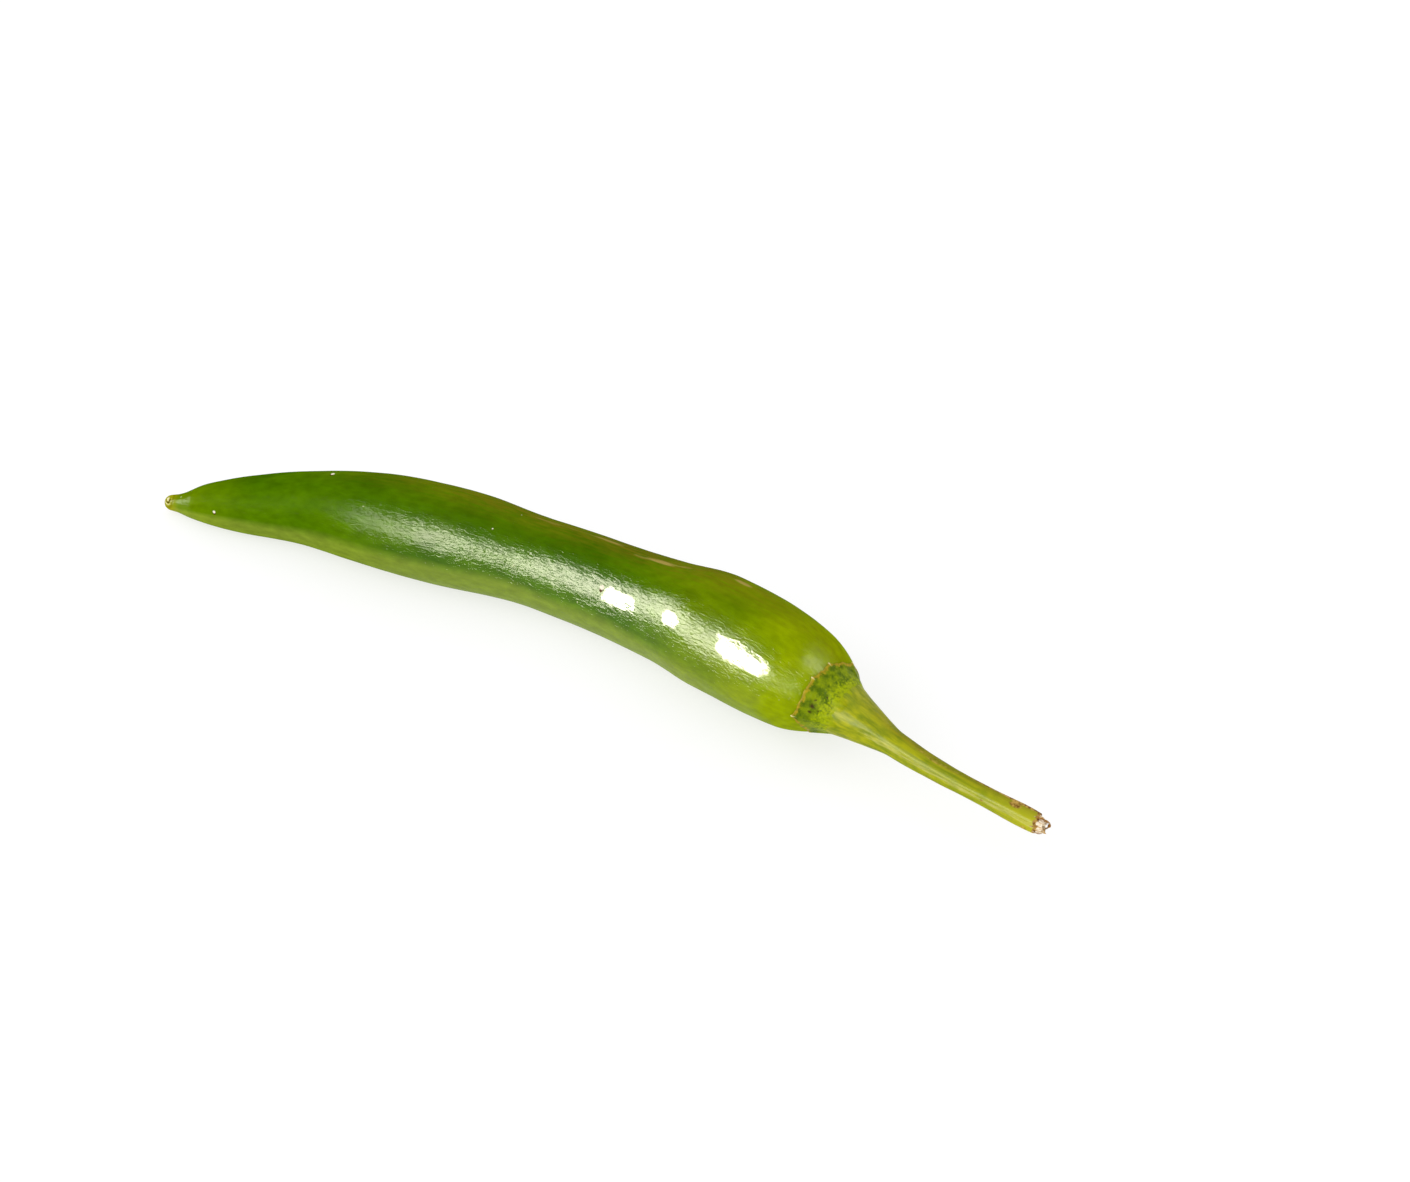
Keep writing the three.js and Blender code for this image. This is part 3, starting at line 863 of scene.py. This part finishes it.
fibre = add(tree, "Mapping", {"Vector": here, "Scale": (0.6, 2.4, 2.4)})
fibre = add(tree, "TexNoise", {"Vector": fibre, "Scale": 1.4, "Detail": 4})
pith_tone = add(tree, "MapRange", {"Value": fibre, "From Min": 0.36, "From Max": 0.56})
pith = add(
    tree, "Mix", {"Factor": pith_tone, "A": colour("#c9a05c"), "B": colour("#fdf2dc")},
    data_type="RGBA",
)
pith_here = add(tree, "MapRange", {"Value": cut_here, "From Min": 0.55, "From Max": 0.8})
paint = add(tree, "Mix", {"Factor": pith_here, "A": paint, "B": pith}, data_type="RGBA")
height = add(tree, "Math", {0: pith_here, 1: fibre, 2: lines}, operation="MULTIPLY_ADD")
relief = add(tree, "Bump", {"Height": height, "Distance": 0.08 * MM, "Strength": 1.0})
dullness = add(
    tree, "MapRange",
    {"Value": cut_here, "From Min": 0, "From Max": 0.6, "To Min": 0.42, "To Max": 0.85},
)
shader = tree.nodes["Principled BSDF"]
tree.links.new(paint, shader.inputs["Base Color"])
tree.links.new(dullness, shader.inputs["Roughness"])
tree.links.new(relief, shader.inputs["Normal"])
shader.inputs["IOR"].default_value = 1.4
shader.inputs["Specular IOR Level"].default_value = 0.11
stem.data.materials.append(rind)

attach(stem, "root")
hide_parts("stem")


# ---- The torn fibres ---------------------------------------------------------------------------
# Loose ends of the stalk's fibres, and a strip of its rind, left standing where the stem was
# torn off the plant. Each is still grown into the stem at one end, and dried and curled.

# Width, how brown it is, and the points it runs through: millimetres past the cut end, distance
# out from the middle, and degrees round.
STRANDS = [
    (0.40, 1.0, [(-2.3, 1.35, 104), (-1.4, 1.45, 98), (-0.6, 1.35, 84), (0.1, 0.95, 58)]),
    (0.56, 0.9, [(-0.9, 0.9, 66), (-0.2, 1.0, 32), (0.1, 1.1, 0), (0, 1.15, -34),
                 (-0.5, 1.1, -66)]),
    (0.24, 0.2, [(-1.7, 1.0, 150), (-0.9, 1.1, 142), (-0.2, 0.95, 122), (0.2, 0.6, 100)]),
    (0.26, 0.1, [(-1.7, 0.8, 226), (-0.7, 1.05, 222), (0.1, 1.0, 212)]),
    (0.26, 0.6, [(-2.1, 1.3, 196), (-1.3, 1.5, 202), (-0.6, 1.4, 214), (-0.1, 1.1, 228)]),
    (0.26, 0.0, [(-1.4, 0.4, 90), (-0.5, 0.5, 100), (0.2, 0.65, 120)]),
    (0.26, 0.3, [(-1.4, 0.7, 300), (-0.5, 0.9, 308), (0.1, 1.0, 326)]),
    (0.28, 0.8, [(-2.2, 1.3, 172), (-1.7, 1.5, 168), (-1.2, 1.45, 158), (-0.8, 1.2, 148)]),
]
STRAND_RINGS, STRAND_SIDES = 26, 10
strand_turns = np.linspace(0, 2 * np.pi, STRAND_SIDES, endpoint=False)[None, :, None]
strand_share = np.linspace(0, 1, STRAND_RINGS)
strands, strand_mm, browned = [], [], []
for number, (width, brown, points) in enumerate(STRANDS):
    points = [
        (along, out * math.cos(math.radians(turn)), out * math.sin(math.radians(turn)))
        for along, out, turn in points
    ]
    path = curve_through(points, 12)
    spot = strand_share * (len(path) - 1)
    path = np.stack([np.interp(spot, range(len(path)), path[:, k]) for k in range(3)], -1)
    forward = np.gradient(path, axis=0)
    forward /= np.linalg.norm(forward, axis=-1, keepdims=True)
    across = np.cross(forward, [0.2, 0.5, 0.8])
    across /= np.linalg.norm(across, axis=-1, keepdims=True)
    behind = np.cross(forward, across)
    half = width / 2 * (1 - 0.65 * strand_share**3) * (1 + 0.35 * wander(path, 0.35, 41))
    half = half[:, None, None]
    rings = half * 1.25 * np.cos(strand_turns) * across[:, None]
    rings = path[:, None] + rings + half * 0.6 * np.sin(strand_turns) * behind[:, None]
    strands.append(line_points[-1] + rings @ end_frame)
    strand_mm.append(rings + [0, 0, 5 * number])
    brown_along = np.clip(brown * (0.5 + 0.7 * strand_share), 0, 1)[:, None]
    browned.append(np.broadcast_to(brown_along, (STRAND_RINGS, STRAND_SIDES)))
fibres = make_rings(
    "torn_fibres",
    np.array(strands),
    {"strand_mm": np.array(strand_mm), "browned": np.array(browned)},
)

# Dry plant fibre: matt and cream, tan to dark brown where it dried hardest.
fibre_skin = bpy.data.materials.new("dry_matt_fibre")
fibre_skin.use_nodes = True
tree = fibre_skin.node_tree
here = add(tree, "Attribute", give="Vector", attribute_name="strand_mm")
brown_here = add(tree, "Attribute", give="Fac", attribute_name="browned")
flecks = add(tree, "TexNoise", {"Vector": here, "Scale": 1 / 0.5, "Detail": 3})
brown_here = add(tree, "Math", {0: flecks, 1: 0.8, 2: brown_here}, operation="MULTIPLY_ADD")
brown_here = add(tree, "MapRange", {"Value": brown_here, "From Min": 0.55, "From Max": 1.15})
dried = add(
    tree, "Mix", {"Factor": flecks, "A": colour("#6a4410"), "B": colour("#b9802c")},
    data_type="RGBA",
)
paint = add(
    tree, "Mix", {"Factor": brown_here, "A": colour("#f6e6c2"), "B": dried}, data_type="RGBA"
)
shader = tree.nodes["Principled BSDF"]
tree.links.new(paint, shader.inputs["Base Color"])
shader.inputs["IOR"].default_value = 1.45
shader.inputs["Specular IOR Level"].default_value = 0.1
shader.inputs["Roughness"].default_value = 0.8
fibres.data.materials.append(fibre_skin)

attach(fibres, "root")
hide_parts("stem")


# ---- Table, light and camera -------------------------------------------------------------------
# The pepper lies on a plain white table, which glows a little to stay white in the shade. An
# overcast sky and a window light it softly. A bright window in front of it to the left, a lamp
# above its stem and a window behind it show only as gloss.

TABLE_HALF = 3.0
TABLE_GLOW = 0.7
table_mesh = bpy.data.meshes.new("table")
table_mesh.from_pydata(
    [(x * TABLE_HALF, y * TABLE_HALF, 0) for x, y in ((-1, -1), (1, -1), (1, 1), (-1, 1))],
    [], [(0, 1, 2, 3)],
)
table = bpy.data.objects.new("table", table_mesh)
bpy.context.scene.collection.objects.link(table)
white = bpy.data.materials.new("matt_white_table")
white.use_nodes = True
shader = white.node_tree.nodes["Principled BSDF"]
shader.inputs["Base Color"].default_value = colour("#9c9c9c")
shader.inputs["Emission Color"].default_value = colour("#ffffff")
shader.inputs["Emission Strength"].default_value = TABLE_GLOW
shader.inputs["Roughness"].default_value = 1.0
shader.inputs["Specular IOR Level"].default_value = 0.0
table_mesh.materials.append(white)

middle = Vector((0, 0, 0.01))

# Name, degrees round, degrees up, metres away, width, height, radiance, colour, only for gloss.
LIGHTS = [
    ("window", -34, 34, 1.3, 1.5, 1.1, 1.3, "#ffffff", False),
    ("window_gloss", -39, 19, 1.28, 2.2, 0.68, 42.0, "#fffae2", True),
    ("side_lamp", 106, 70, 1.2, 0.6, 0.6, 9.0, "#fffae0", True),
    ("back_window", 160, 36, 1.3, 0.9, 0.5, 7.5, "#fffae0", True),
]
for name, around, up, away, width, height, radiance, tint, gloss_only in LIGHTS:
    a, e = math.radians(around), math.radians(up)
    toward = Vector((math.sin(a) * math.cos(e), -math.cos(a) * math.cos(e), math.sin(e)))
    lamp = bpy.data.lights.new(name, "AREA")
    lamp.shape = "RECTANGLE"
    lamp.size, lamp.size_y = width, height
    lamp.energy = radiance * math.pi * width * height
    lamp.color = colour(tint)[:3]
    lamp_object = bpy.data.objects.new(name, lamp)
    lamp_object.location = middle + toward * away
    lamp_object.rotation_mode = "QUATERNION"
    lamp_object.rotation_quaternion = toward.to_track_quat("Z", "Y")
    lamp_object.visible_diffuse = not gloss_only
    bpy.context.scene.collection.objects.link(lamp_object)

# The sky's strength as light, and as gloss, where most of the room stands dark in front of it.
SKY_LIGHT = 0.88
SKY_GLOSS = 0.03
world = bpy.data.worlds.new("overcast_room")
world.use_nodes = True
tree = world.node_tree
background = tree.nodes["Background"]
ray_gloss = add(tree, "LightPath", give="Is Glossy Ray")
strength = add(
    tree, "MapRange",
    {"Value": ray_gloss, "To Min": SKY_LIGHT, "To Max": SKY_GLOSS},
)
background.inputs["Color"].default_value = (1, 1, 1, 1)
tree.links.new(strength, background.inputs["Strength"])
bpy.context.scene.world = world

# Where the camera stands and where it looks, in millimetres.
CAMERA_AT = Vector((259.6, -379.36, 370.27))
CAMERA_LOOKS_AT = Vector((6.26, 19.84, 0.87))
eye = bpy.data.cameras.new("camera")
eye.lens = 88.88
eye.sensor_width = 36
eye.clip_start, eye.clip_end = 0.01, 20
camera = bpy.data.objects.new("camera", eye)
camera.location = CAMERA_AT * MM
looking = CAMERA_LOOKS_AT * MM - camera.location
camera.rotation_mode = "QUATERNION"
camera.rotation_quaternion = looking.to_track_quat("-Z", "Y")
bpy.context.scene.collection.objects.link(camera)
bpy.context.scene.camera = camera
bpy.context.scene.view_settings.view_transform = "Standard"
